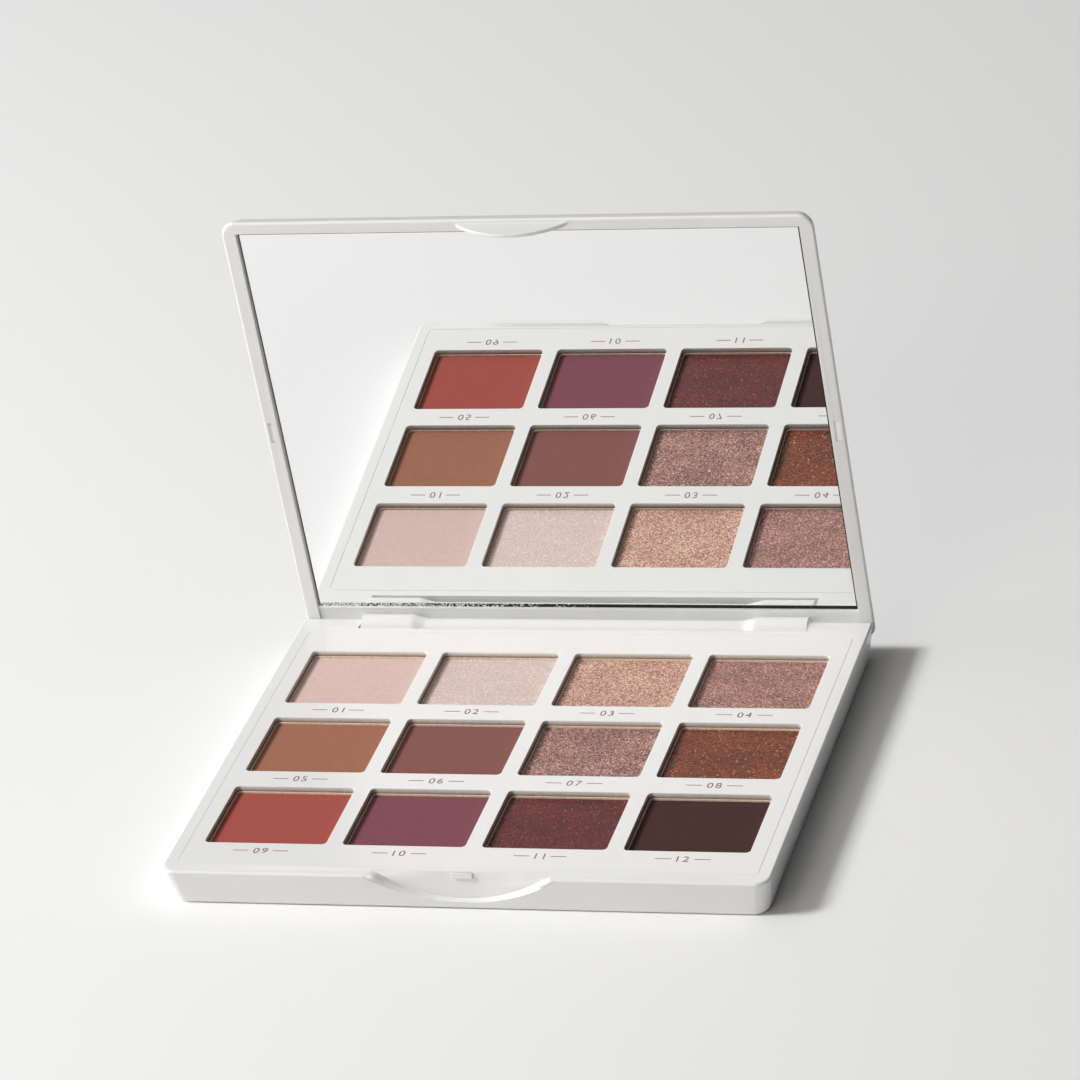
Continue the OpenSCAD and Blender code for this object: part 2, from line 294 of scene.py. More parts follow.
@dataclass(frozen=True)
class MouldedPlastic:
    """Glossy injection-moulded plastic with a faint flow mottle and fine handling marks.

    Attributes:
        tint: Colour of the plastic.
        roughness: Roughness where it is cleanest.
        wear: Roughness added where it has been handled.
        well_shade: Colour of the painted shade low in the windows, brown as if bounced off the powder.
        shade_heights: Heights at which that painted shade is deepest and where it ends, or None for a
            moulding without it.
        shade_fleck: Width of one fleck along the painted shade's upper edge.
        ragged: How far that edge wanders up and down.
        flow: Width of one blotch of the flow mottle.
        mark: Width of one handling mark.
        ripple: Width of one ripple of the surface.
        ripple_depth: Height of a ripple.
    """

    tint: Colour = (0.805, 0.805, 0.800)
    roughness: float = 0.25
    wear: float = 0.02
    well_shade: Colour = (0.30, 0.20, 0.14)
    shade_heights: Optional[tuple[float, float]] = None
    shade_fleck: float = 0.8 * MM
    ragged: float = 0.15 * MM
    flow: float = 14 * MM
    mark: float = 2.5 * MM
    ripple: float = 6 * MM
    ripple_depth: float = 0.004 * MM

    def make(self, name: str) -> bpy.types.Material:
        """Builds the material."""
        g = Graph(name)
        flow = g.noise(self.flow, 3.0)
        colour = g.shades(flow, self.tint, (0.30, 0.985), (0.70, 1.01))
        # Painted shade: where heights are given, the plastic turns brown towards the bottom of the windows,
        # where shade falls.
        if self.shade_heights is not None:
            edge = g.between(g.noise(self.shade_fleck, 3.0), -self.ragged, self.ragged)
            height = g.plus(g.coordinate(2), edge)
            share = g.between(height, 1.0, 0.0, *self.shade_heights)
            colour = g.blend(share, colour, g.shades(share, self.well_shade, (0.0, 1.0), (1.0, 1.0)))
        g.colour(colour)
        marks = g.noise(self.mark, 3.0, g.stretched((1.0, 0.25, 1.0)))
        handled = g.between(marks, self.roughness, self.roughness + self.wear, 0.30, 0.75)
        g.finish(handled, g.bump(g.noise(self.ripple, 1.0), self.ripple_depth))
        g.set(IOR=1.49)
        return g.material


@dataclass(frozen=True)
class DrawnMetal:
    """Sheet or wire with fine lines along the way that it was drawn.

    Attributes:
        tint: Colour of the metal.
        roughness: Mean roughness.
        metallic: Metallic share.
        line: Width of one line, in metres.
        stretch: Scale of the lines along each axis; the smallest is the way that they run.
        dull: Place and shade of the darkest lines.
        bright: Place and shade of the lightest lines.
        uneven: How far the roughness falls below its mean and rises above it.
        depth: Height of the lines, in metres.
    """

    tint: Colour
    roughness: float
    metallic: float
    line: float
    stretch: tuple[float, float, float]
    dull: tuple[float, float]
    bright: tuple[float, float]
    uneven: tuple[float, float]
    depth: float = 0.002 * MM

    def make(self, name: str) -> bpy.types.Material:
        """Builds the material."""
        g = Graph(name)
        lines = g.noise(self.line, 3.0, g.stretched(self.stretch))
        g.colour(g.shades(lines, self.tint, self.dull, self.bright))
        below, above = self.uneven
        rough = g.between(lines, self.roughness - below, self.roughness + above)
        g.finish(rough, g.bump(lines, self.depth))
        g.set(Metallic=self.metallic)
        return g.material


@dataclass(frozen=True)
class SilveredGlass:
    """The face of a mirror, with the faintest haze.

    Attributes:
        tint: Colour of the silvering.
        haze: Roughness where the glass is least clean.
        cloud: Width of one cloud of haze, in metres.
    """

    tint: Colour = (0.925, 0.935, 0.935)
    haze: float = 0.012
    cloud: float = 22 * MM

    def make(self, name: str) -> bpy.types.Material:
        """Builds the material."""
        g = Graph(name)
        film = g.noise(self.cloud, 3.0)
        g.colour(g.shades(film, self.tint, (0.3, 0.995), (0.8, 1.0)))
        g.finish(g.between(film, 0.0, self.haze, 0.62, 0.95))
        g.set(Metallic=1.0)
        return g.material


@dataclass(frozen=True)
class CutEdgeShadeAndGlints:
    """The scored and broken edge of the mirror, with painted shade: near black, with bright chips as painted
    glints that thin out towards the right.

    Attributes:
        dark: Colour of the facets in painted shade.
        bright: Colour of the chips, a painted glint.
        facet: Width of one facet, in metres.
        chipped: Where along X the chips are densest and where they end, in metres.
        chance: What is added to a facet's chance of a chip at those two places.
        shown: Chances at which a facet starts to be bright and is wholly bright.
        gloss: Roughness of the smoothest and of the roughest facet.
        tilt: How far the facets lie off the surface.
    """

    dark: Colour = (0.012, 0.012, 0.013)
    bright: Colour = (0.78, 0.79, 0.79)
    facet: float = 0.26 * MM
    chipped: tuple[float, float] = (-46 * MM, 8 * MM)
    chance: tuple[float, float] = (0.24, -0.48)
    shown: tuple[float, float] = (0.50, 0.66)
    gloss: tuple[float, float] = (0.20, 0.55)
    tilt: float = 0.20

    def make(self, name: str) -> bpy.types.Material:
        """Builds the material."""
        g = Graph(name)
        chips = g.cells(self.facet)
        fade = g.between(g.coordinate(0), *self.chance, *self.chipped)
        lit = g.between(g.plus(g.part(chips, 0), fade), 0.0, 1.0, *self.shown)
        g.colour(g.ramp(lit, ((0.0, self.dark), (1.0, self.bright))))
        g.finish(g.between(g.part(chips, 1), *self.gloss), g.tilted(chips, self.tilt))
        g.set(Specular_IOR_Level=0.25)
        return g.material


@dataclass(frozen=True)
class SoftFilm:
    """A matt soft material, such as foam tape, glue or printed ink.

    Attributes:
        tint: Colour of the film.
        roughness: Mean roughness.
        grain: Width of its grain, in metres.
        depth: Height of its grain, in metres.
        uneven: How far the roughness departs from its mean.
    """

    tint: Colour
    roughness: float
    grain: float
    depth: float
    uneven: float = 0.08

    def make(self, name: str) -> bpy.types.Material:
        """Builds the material."""
        g = Graph(name)
        grain = g.noise(self.grain, 3.0)
        g.colour(g.shades(grain, self.tint, (0.3, 0.85), (0.7, 1.12)))
        rough = g.between(grain, self.roughness - self.uneven, self.roughness + self.uneven)
        g.finish(rough, g.bump(grain, self.depth))
        return g.material


class Sheen(Enum):
    """How much pearl a pressed powder holds."""

    MATTE = "matte"
    FINE = "fine shimmer"
    SATIN = "satin"
    SHIMMER = "shimmer"
    GLITTER = "glitter"


@dataclass(frozen=True)
class Pearl:
    """What one level of sheen looks like.

    Attributes:
        flake: Width of one flake, in metres.
        tilt: How far the flakes lie off the surface.
        metal: Metallic share.
        roughness: Roughness of the flakes.
        spread: How far the flakes' brightness departs from the mean.
        glints: Share of flakes that are painted much brighter, as painted glints.
    """

    flake: float
    tilt: float
    metal: float
    roughness: float
    spread: float
    glints: float


PEARLS = {
    Sheen.MATTE: Pearl(0.14 * MM, 0.05, 0.0, 0.88, 0.05, 0.0),
    Sheen.FINE: Pearl(0.25 * MM, 0.12, 0.10, 0.52, 0.18, 0.02),
    Sheen.SATIN: Pearl(0.25 * MM, 0.14, 0.10, 0.52, 0.80, 0.012),
    Sheen.SHIMMER: Pearl(0.25 * MM, 0.18, 0.20, 0.48, 0.78, 0.015),
    Sheen.GLITTER: Pearl(0.25 * MM, 0.22, 0.20, 0.48, 0.95, 0.025),
}

# How the flakes' brightness runs from the darkest to the lightest, as shares of the spread.
PEARL_CURVE = ((0.0, -1.0), (0.6, 0.2), (0.9, 1.6), (1.0, 2.6))


@dataclass(frozen=True)
class PressedPowder:
    """Pressed powder: a fine chalky grain, with pearl flakes where it has any.

    Attributes:
        shade: Mean colour.
        sheen: How much pearl it holds.
        glint: Colour of its brightest flakes, a painted glint.
        chalk: Width of one blotch of the chalky grain.
        chalk_depth: Height of that grain.
        sheen_band: Width of one of the bands of painted sheen in the pearl.
        sheen_swing: How far a band is painted brighter or darker.
    """

    shade: Colour
    sheen: Sheen
    glint: Colour = (1.0, 0.86, 0.76)
    chalk: float = 0.9 * MM
    chalk_depth: float = 0.012 * MM
    sheen_band: float = 7.0 * MM
    sheen_swing: float = 0.08

    def make(self, name: str) -> bpy.types.Material:
        """Builds the material."""
        pearl = PEARLS[self.sheen]
        g = Graph(name)
        flakes = g.cells(pearl.flake)
        chalk = g.noise(self.chalk, 5.0)
        mixed = g.shades(chalk, self.shade, (0.30, 0.955), (0.70, 1.045))
        if pearl.glints:
            # Painted sheen: wide bands lift or lower the flakes' brightness.
            bands = g.noise(self.sheen_band, 2.0, g.stretched((0.6, 1.0, 1.0)))
            lit = g.plus(g.part(flakes, 0), g.between(bands, -self.sheen_swing, self.sheen_swing, 0.3, 0.7))
            stops = [(place, 1 + pearl.spread * rise) for place, rise in PEARL_CURVE]
            cover = g.between(g.part(flakes, 2), 0.8, 1.0)
            mixed = g.blend(cover, mixed, g.shades(lit, self.shade, *stops))
            # Painted glints: a small share of flakes take the bright glint colour.
            glitter = g.between(g.part(flakes, 1), 0.0, 0.85, 1 - pearl.glints, 1 - 0.6 * pearl.glints)
            mixed = g.blend(glitter, mixed, g.shades(glitter, self.glint, (0.0, 1.0), (1.0, 1.0)))
        g.colour(mixed)
        rough = g.between(chalk, pearl.roughness - 0.04, pearl.roughness + 0.06)
        g.finish(rough, g.bump(chalk, self.chalk_depth, g.tilted(flakes, pearl.tilt)))
        g.set(Metallic=pearl.metal, Specular_IOR_Level=0.25 if self.sheen is Sheen.MATTE else 0.4)
        return g.material


PLASTIC = MouldedPlastic()
TIN = DrawnMetal(
    (0.76, 0.65, 0.51), 0.40, 0.45, 0.35 * MM, (1.0, 1.0, 0.12), (0.35, 0.86), (0.65, 1.08), (0.08, 0.10)
)
STEEL = DrawnMetal(
    (0.55, 0.55, 0.56), 0.28, 1.0, 0.12 * MM, (0.04, 1.0, 1.0), (0.3, 0.8), (0.7, 1.1), (0.06, 0.12)
)
SILVER = SilveredGlass()
# The mirror's foot: painted shade with painted glints on its chips.
CUT_EDGE_GLINTS = CutEdgeShadeAndGlints()
# The mirror's other edges get painted shade only: these places lie far off the mirror, so no glints show.
NO_CHIPS = (-900 * MM, -800 * MM)
EDGE_SHADE = CutEdgeShadeAndGlints(chipped=NO_CHIPS)
GLUE = SoftFilm((0.85, 0.80, 0.66), 0.42, 1.2 * MM, 0.02 * MM)
TAPE = SoftFilm((0.30, 0.30, 0.31), 0.80, 0.4 * MM, 0.02 * MM)
INK = SoftFilm((0.30, 0.11, 0.10), 0.55, 0.15 * MM, 0.002 * MM)

POWDERS = (
    PressedPowder((0.670, 0.490, 0.452), Sheen.MATTE),
    PressedPowder((0.665, 0.527, 0.487), Sheen.FINE, (1.0, 0.93, 0.90)),
    PressedPowder((0.584, 0.304, 0.240), Sheen.SHIMMER, (1.0, 0.78, 0.62)),
    PressedPowder((0.342, 0.175, 0.150), Sheen.SHIMMER, (0.95, 0.70, 0.66)),
    PressedPowder((0.345, 0.144, 0.089), Sheen.MATTE),
    PressedPowder((0.237, 0.094, 0.083), Sheen.MATTE),
    PressedPowder((0.316, 0.167, 0.142), Sheen.GLITTER, (1.0, 0.80, 0.76)),
    PressedPowder((0.172, 0.044, 0.020), Sheen.GLITTER, (0.90, 0.50, 0.34)),
    PressedPowder((0.366, 0.080, 0.061), Sheen.MATTE),
    PressedPowder((0.215, 0.070, 0.090), Sheen.MATTE),
    PressedPowder((0.107, 0.017, 0.018), Sheen.SATIN, (0.60, 0.22, 0.20)),
    PressedPowder((0.062, 0.026, 0.023), Sheen.MATTE),
)


# ---------------------------------------------------------------------------------------------
# Mesh tools
# ---------------------------------------------------------------------------------------------


def dress(obj: bpy.types.Object, *materials: bpy.types.Material) -> None:
    """Gives an object these materials in place of what it has.

    Args:
        obj: The object.
        materials: One material for each of the mesh's material numbers.
    """
    slots = obj.data.materials
    for index, material in enumerate(materials):
        if index < len(slots):
            slots[index] = material
        else:
            slots.append(material)


def place_piece(name: str, bm: bmesh.types.BMesh, body: str) -> bpy.types.Object:
    """Turns a finished mesh into a piece that rides on a body.

    Args:
        name: The piece's name.
        bm: Its mesh, in metres in the row frame. It is freed.
        body: The body it rides on.

    Returns:
        The new object.
    """
    bmesh.ops.recalc_face_normals(bm, faces=bm.faces)
    mesh = bpy.data.meshes.new(name)
    bm.to_mesh(mesh)
    bm.free()
    mesh.polygons.foreach_set("use_smooth", [True] * len(mesh.polygons))
    mesh.set_sharp_from_angle(angle=math.radians(SHARP_TURN))
    obj = bpy.data.objects.new(name, mesh)
    bpy.context.scene.collection.objects.link(obj)
    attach(obj, body)
    return obj


@dataclass(frozen=True)
class RoundRect:
    """An upright rectangle with round corners, as seen from above.

    Attributes:
        x: Centre along X, in metres.
        y: Centre along Y, in metres.
        width: Size along X.
        depth: Size along Y.
        radius: Corner radius.
        corner_steps: Segments in each corner.
        side_steps: Segments along each side.
    """

    x: float
    y: float
    width: float
    depth: float
    radius: float
    corner_steps: int = 6
    side_steps: int = 1

    def points(self, inset: float, z: float) -> list[Vector]:
        """The outline drawn in by an inset, at a height, counter-clockwise.

        Args:
            inset: How far inside the outline.
            z: Height.

        Returns:
            The points in order.
        """
        radius = max(self.radius - inset, 0.02 * MM)
        half_w = self.width / 2 - inset - radius
        half_d = self.depth / 2 - inset - radius
        corners = ((half_w, half_d), (-half_w, half_d), (-half_w, -half_d), (half_w, -half_d))

        def on_corner(index: int, share: float) -> Vector:
            """The point at a share of the way round a corner."""
            x, y = corners[index % 4]
            turn = math.radians(90 * (index % 4 + share))
            return Vector((self.x + x + radius * math.cos(turn), self.y + y + radius * math.sin(turn), z))

        found: list[Vector] = []
        for index in range(4):
            found += [on_corner(index, step / self.corner_steps) for step in range(self.corner_steps + 1)]
            last, ahead = found[-1], on_corner(index + 1, 0)
            found += [last.lerp(ahead, step / self.side_steps) for step in range(1, self.side_steps)]
        return found


def arc(inset: float, z: float, radius: float, start: float, end: float, steps: int = 4) -> Section:
    """Points (inset, height) on an arc, for a section of a loft.

    Args:
        inset: The centre's inset.
        z: The centre's height.
        radius: Radius of the arc.
        start: First angle in degrees, where 0 points outwards and 90 up.
        end: Last angle.
        steps: Number of segments.

    Returns:
        The points in order.
    """
    turns = [math.radians(start + (end - start) * i / steps) for i in range(steps + 1)]
    return [(inset - radius * math.cos(t), z + radius * math.sin(t)) for t in turns]


def bridge(bm: bmesh.types.BMesh, loops: Sequence[list]) -> list[bmesh.types.BMFace]:
    """Joins rings of vertices, each to the next, with four-sided faces.

    Args:
        bm: The mesh that holds them.
        loops: The rings, all with the same number of vertices.

    Returns:
        The faces, ring by ring.
    """
    made = []
    for near, far in zip(loops, loops[1:]):
        for i in range(len(near)):
            j = (i + 1) % len(near)
            made.append(bm.faces.new((near[i], near[j], far[j], far[i])))
    return made


def loft(outline: RoundRect, section: Section) -> bmesh.types.BMesh:
    """A closed solid that carries a section round an outline.

    Args:
        outline: The outline at inset 0.
        section: Points (inset, height) from the middle of the underside, outwards, up and back in.

    Returns:
        The mesh, closed by a face at each end.
    """
    bm = bmesh.new()
    loops = [[bm.verts.new(p) for p in outline.points(inset, z)] for inset, z in section]
    bridge(bm, loops)
    bm.faces.new(list(reversed(loops[0])))
    bm.faces.new(loops[-1])
    return bm


def upright(axis: int, places: Sequence[float]) -> list[Plane]:
    """Upright planes that cross X (0) or Y (1), one at each place."""
    normal = Vector((float(axis == 0), float(axis == 1), 0.0))
    return [(normal * place, normal) for place in places]


def level_at(z: float) -> Plane:
    """The level plane at a height."""
    return Vector((0.0, 0.0, z)), Vector((0.0, 0.0, 1.0))


@dataclass(frozen=True)
class Fillet:
    """How far some of a moulding's edges are rounded.

    Attributes:
        radius: The rounding's width, in metres.
        picks: Says whether an edge belongs, from its middle.
    """

    radius: float
    picks: Callable[[Vector], bool]


@dataclass
class Moulding:
    """A plastic moulding: the CAD node's shape with its edges rounded.

    Attributes:
        node: The CAD node.
        name: The piece that stands for it.
        body: The body it rides on.
        fillets: Rounding rules, of which the first that picks an edge holds.
        rims: Flat faces (a point and a normal) that close vertices are drawn onto.
        cuts: Planes (a point and a normal) that split the flat faces, so that none of them surrounds a hole.
        flat: Faces whose normals differ less than this many degrees count as one.
        sharp: Edges that turn less than this many degrees aren't rounded.
        near: Vertices closer to a rim's plane than this are drawn onto it, in metres.
        weld: Vertices closer than this are one, in metres.
        steps: Segments in each rounding.
    """

    node: str
    name: str
    body: str
    fillets: Sequence[Fillet]
    rims: Sequence[Plane] = ()
    cuts: Sequence[Plane] = ()
    flat: float = 0.4
    sharp: float = 28.0
    near: float = 0.012 * MM
    weld: float = 0.001 * MM
    steps: int = 3

    def build(self) -> bpy.types.Object:
        """Copies, joins up and rounds the node's mesh.

        Returns:
            The piece.
        """
        bm = bmesh.new()
        bm.from_mesh(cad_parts[self.node].data)
        for point, normal in self.rims:
            for vert in bm.verts:
                off = (vert.co - point).dot(normal)
                if abs(off) < self.near:
                    vert.co -= normal * off
        bmesh.ops.remove_doubles(bm, verts=bm.verts, dist=self.weld)
        for point, normal in self.cuts:
            parts = bm.verts[:] + bm.edges[:] + bm.faces[:]
            made = bmesh.ops.bisect_plane(bm, geom=parts, dist=self.weld / 2, plane_co=point, plane_no=normal)
            for part in made["geom_cut"]:
                if isinstance(part, bmesh.types.BMEdge):
                    part.seam = True
        bmesh.ops.dissolve_limit(
            bm,
            angle_limit=math.radians(self.flat),
            verts=bm.verts,
            edges=bm.edges,
            delimit={"SEAM"},
        )
        widest = max(f.radius for f in self.fillets)
        weight = bm.edges.layers.float.new("bevel_weight_edge")
        for edge in bm.edges:
            if len(edge.link_faces) != 2 or edge.calc_face_angle(0.0) < math.radians(self.sharp):
                continue
            middle = (edge.verts[0].co + edge.verts[1].co) / 2
            rule = next((rule for rule in self.fillets if rule.picks(middle)), None)
            if rule is not None:
                edge[weight] = rule.radius / widest
        piece = place_piece(self.name, bm, self.body)
        bevel = piece.modifiers.new("rounding", "BEVEL")
        bevel.width = widest
        bevel.segments = self.steps
        bevel.limit_method = "WEIGHT"
        bevel.use_clamp_overlap = False
        bevel.miter_outer = "MITER_ARC"
        weighted = piece.modifiers.new("shading", "WEIGHTED_NORMAL")
        weighted.keep_sharp = True
        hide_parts(self.node)
        return piece


# ---------------------------------------------------------------------------------------------
# Sub-assemblies
# ---------------------------------------------------------------------------------------------


@dataclass
class BaseShell:
    """The tray and the pan plate, two glossy white mouldings.

    Attributes:
        groove_round: Rounding on both sides of the groove round the plate.
        notch_round: Rounding along the thumb notch's arc.
        notch_end: Width at each end of the notch where its rounding stops.
        notch_foot: Height from which the arc is rounded.
        notch_brim: How far below the tray's top that rounding stops.
        notch_depth: How far the notch reaches in from the tray's front.
        window_round: Rounding round each window.
        groove_fill: How far the plate's outline is drawn out, which leaves a hairline round it.
        clean: How far below the plate's face the painted shade in the windows ends.
        beside: How far outside the plate the groove's outer edge lies at most.
        outline: How far inside the plate's box its outline lies at most.
        border: Width of the plate's border that is drawn out.
    """

    groove_round: float = 0.05 * MM
    notch_round: float = 0.14 * MM
    notch_end: float = 3.0 * MM
    notch_foot: float = 0.9 * MM
    notch_brim: float = 0.5 * MM
    notch_depth: float = 3.0 * MM
    window_round: float = 0.14 * MM
    groove_fill: float = 0.075 * MM
    clean: float = 0.25 * MM
    beside: float = 1.0 * MM
    outline: float = 0.6 * MM
    border: float = 2.0 * MM

    def build(self) -> list[bpy.types.Object]:
        """Builds both mouldings and dresses them.

        Returns:
            The pieces.
        """
        tray, plate = self.tray(), self.plate()
        self.close_groove(plate)
        # The painted shade in the windows runs from the pans' rims up to just below the plate's face.
        shade_heights = (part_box("pan_01")[1].z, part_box("pan_plate")[1].z - self.clean)
        dress(tray, PLASTIC.make("case_plastic_base"))
        dress(plate, replace(PLASTIC, shade_heights=shade_heights).make("case_plastic_plate"))
        dress(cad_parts["pan_glue"], GLUE.make("glue"))
        return [tray, plate]

    def tray(self) -> bpy.types.Object:
        """The tray, rounded along its thumb notch and the groove round the plate.

        Returns:
            The piece.
        """
        low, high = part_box("base_tray")
        plate_low, plate_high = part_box("pan_plate")
        top = high.z
        west, east = plate_low.x - self.beside, plate_high.x + self.beside
        reach = self.notch_reach(low.y, top)

        def in_notch(p: Vector) -> bool:
            """Whether an edge lies on the notch's arc, clear of the arc's ends."""
            on_arc = self.notch_foot < p.z < top - self.notch_brim
            return p.y < low.y + self.notch_depth and on_arc and abs(p.x) < reach - self.notch_end

        def on_groove(p: Vector) -> bool:
            """Whether an edge lies along the groove."""
            inside = west < p.x < east and plate_low.y - self.beside < p.y
            return abs(p.z - top) < LEVEL and inside

        return Moulding(
            "base_tray",
            "base_shell",
            BASE_BODY,
            (Fillet(self.notch_round, in_notch), Fillet(self.groove_round, on_groove)),
            (level_at(top),),
            upright(0, (west, east, 0.0)) + upright(1, (plate_low.y - self.beside / 2, 0.0)),
        ).build()

    def plate(self) -> bpy.types.Object:
        """The pan plate, rounded along its outline and round its windows.

        Returns:
            The piece.
        """
        low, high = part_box("pan_plate")
        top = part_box("base_tray")[1].z

        def on_face(p: Vector) -> bool:
            """Whether an edge lies on the plate's face."""
            return abs(p.z - top) < LEVEL

        def on_outline(p: Vector) -> bool:
            """Whether an edge lies on the plate's outline."""
            inside = min(p.x - low.x, high.x - p.x, p.y - low.y, high.y - p.y)
            return on_face(p) and inside < self.outline

        return Moulding(
            "pan_plate",
            "pan_plate_shell",
            BASE_BODY,
            (Fillet(self.groove_round, on_outline), Fillet(self.window_round, on_face)),
            (level_at(top),),
            upright(0, self.lines(0, range(1, COLUMNS + 1)))
            + upright(1, self.lines(1, range(1, PAN_COUNT + 1, COLUMNS))),
        ).build()

    def notch_reach(self, front: float, top: float) -> float:
        """Half the width of the thumb notch, measured near its back.

        Args:
            front: The tray's front, along Y.
            top: The tray's top.

        Returns:
            The half width.
        """
        back, reach, widest = front + 2 * MM, 0.6 * MM, 30 * MM
        return max(
            v.co.x
            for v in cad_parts["base_tray"].data.vertices
            if v.co.z > top - NEAR and abs(v.co.y - back) < reach and v.co.x < widest
        )

    def close_groove(self, plate: bpy.types.Object) -> None:
        """Draws the plate's outline out, so that only a hairline is left round it.

        Args:
            plate: The plate's piece.
        """
        low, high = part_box("pan_plate")
        middle = (low + high) / 2
        for vert in plate.data.vertices:
            edge = min(vert.co.x - low.x, high.x - vert.co.x, vert.co.y - low.y, high.y - vert.co.y)
            if edge < self.border:
                for axis in (0, 1):
                    stretch = 1 + 2 * self.groove_fill / (high[axis] - low[axis])
                    vert.co[axis] = middle[axis] + (vert.co[axis] - middle[axis]) * stretch

    def lines(self, axis: int, pans: Sequence[int]) -> list[float]:
        """Places through the middle of each pan in a line, and of each rib between them.

        Args:
            axis: The axis that the line runs along: 0 for X, 1 for Y.
            pans: The pans' numbers, in order.

        Returns:
            The places along the axis.
        """
        middles = [sum(corner[axis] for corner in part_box(f"pan_{n:02d}")) / 2 for n in pans]
        return middles + [(a + b) / 2 for a, b in zip(middles, middles[1:])]


@dataclass
class PanSet:
    """The twelve tin pans with their rolled rims.

    Attributes:
        sheet: Thickness of the tin.
        foot_round: Radius where the wall meets the floor.
        corner: Corner radius, seen from above.
    """

    sheet: float = 0.30 * MM
    foot_round: float = 0.60 * MM
    corner: float = 0.85 * MM

    def build(self) -> list[bpy.types.Object]:
        """Builds and dresses the pans.

        Returns:
            The pieces.
        """
        tin = TIN.make("pan_tin")
        made = []
        for number in range(1, PAN_COUNT + 1):
            low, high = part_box(f"pan_{number:02d}")
            size, centre = high - low, (high + low) / 2
            outline = RoundRect(centre.x, centre.y, size.x, size.y, self.corner)
            rim = self.sheet / 2
            foot = self.foot_round
            inner = foot - self.sheet
            section = arc(foot, low.z + foot, foot, -90, 0)
            section += arc(rim, high.z - rim, rim, 0, 180)
            section += arc(foot, low.z + foot, inner, 0, -90)
            piece = place_piece(f"tin_pan_{number:02d}", loft(outline, section), BASE_BODY)
            dress(piece, tin)
            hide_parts(f"pan_{number:02d}")
            made.append(piece)
        return made


@dataclass
class PowderSet:
    """The twelve pressed powders, each a crowned cake with soft edges.

    Attributes:
        clearance: Gap between the powder and its pan.
        foot_round: Rounding along the foot, which follows the pan's.
        edge_round: Rounding along the top edge.
        crown: How much lower the edge lies than the middle.
        grain: Height of the uneven surface.
        ripple: Width of one unevenness.
        corner: Corner radius, seen from above.
        core: Half the narrowest width of the flat face in the middle.
        rings: Rings of faces between the edge and that face.
        side_steps: Segments along each side.
    """

    clearance: float = 0.05 * MM
    foot_round: float = 0.34 * MM
    edge_round: float = 0.12 * MM
    crown: float = 0.05 * MM
    grain: float = 0.015 * MM
    ripple: float = 1.1 * MM
    corner: float = 0.55 * MM
    core: float = 1.2 * MM
    rings: int = 14
    side_steps: int = 34

    def build(self) -> list[bpy.types.Object]:
        """Builds and dresses the powders.

        Returns:
            The pieces.
        """
        made = []
        for number, finish in enumerate(POWDERS, start=1):
            node = f"powder_{number:02d}"
            piece = place_piece(f"pressed_powder_{number:02d}", self.cake(node), BASE_BODY)
            dress(piece, finish.make(node))
            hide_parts(node)
            made.append(piece)
        return made

    def cake(self, node: str) -> bmesh.types.BMesh:
        """The mesh of one powder.

        Args:
            node: Its CAD node.

        Returns:
            The mesh.
        """
        low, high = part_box(node)
        size, centre = high - low, (high + low) / 2
        outline = RoundRect(
            centre.x,
            centre.y,
            size.x - 2 * self.clearance,
            size.y - 2 * self.clearance,
            self.corner,
            side_steps=self.side_steps,
        )
        top = high.z - self.crown
        foot, edge = self.foot_round, self.edge_round
        section = arc(foot, low.z + foot, foot, -90, 0, 3) + arc(edge, top - edge, edge, 0, 90)
        reach = min(size.x, size.y) / 2 - self.core
        for ring in range(1, self.rings + 1):
            inset = edge + (reach - edge) * ring / self.rings
            rise = self.crown * (1 - (1 - inset / reach) ** 3)
            section.append((inset, top + rise))
        bm = loft(outline, section)
        for vert in bm.verts:
            if vert.co.z > top - edge / 2:
                vert.co.z += self.grain * noise.noise(vert.co / self.ripple)
                vert.co.z = min(vert.co.z, high.z)
        return bm


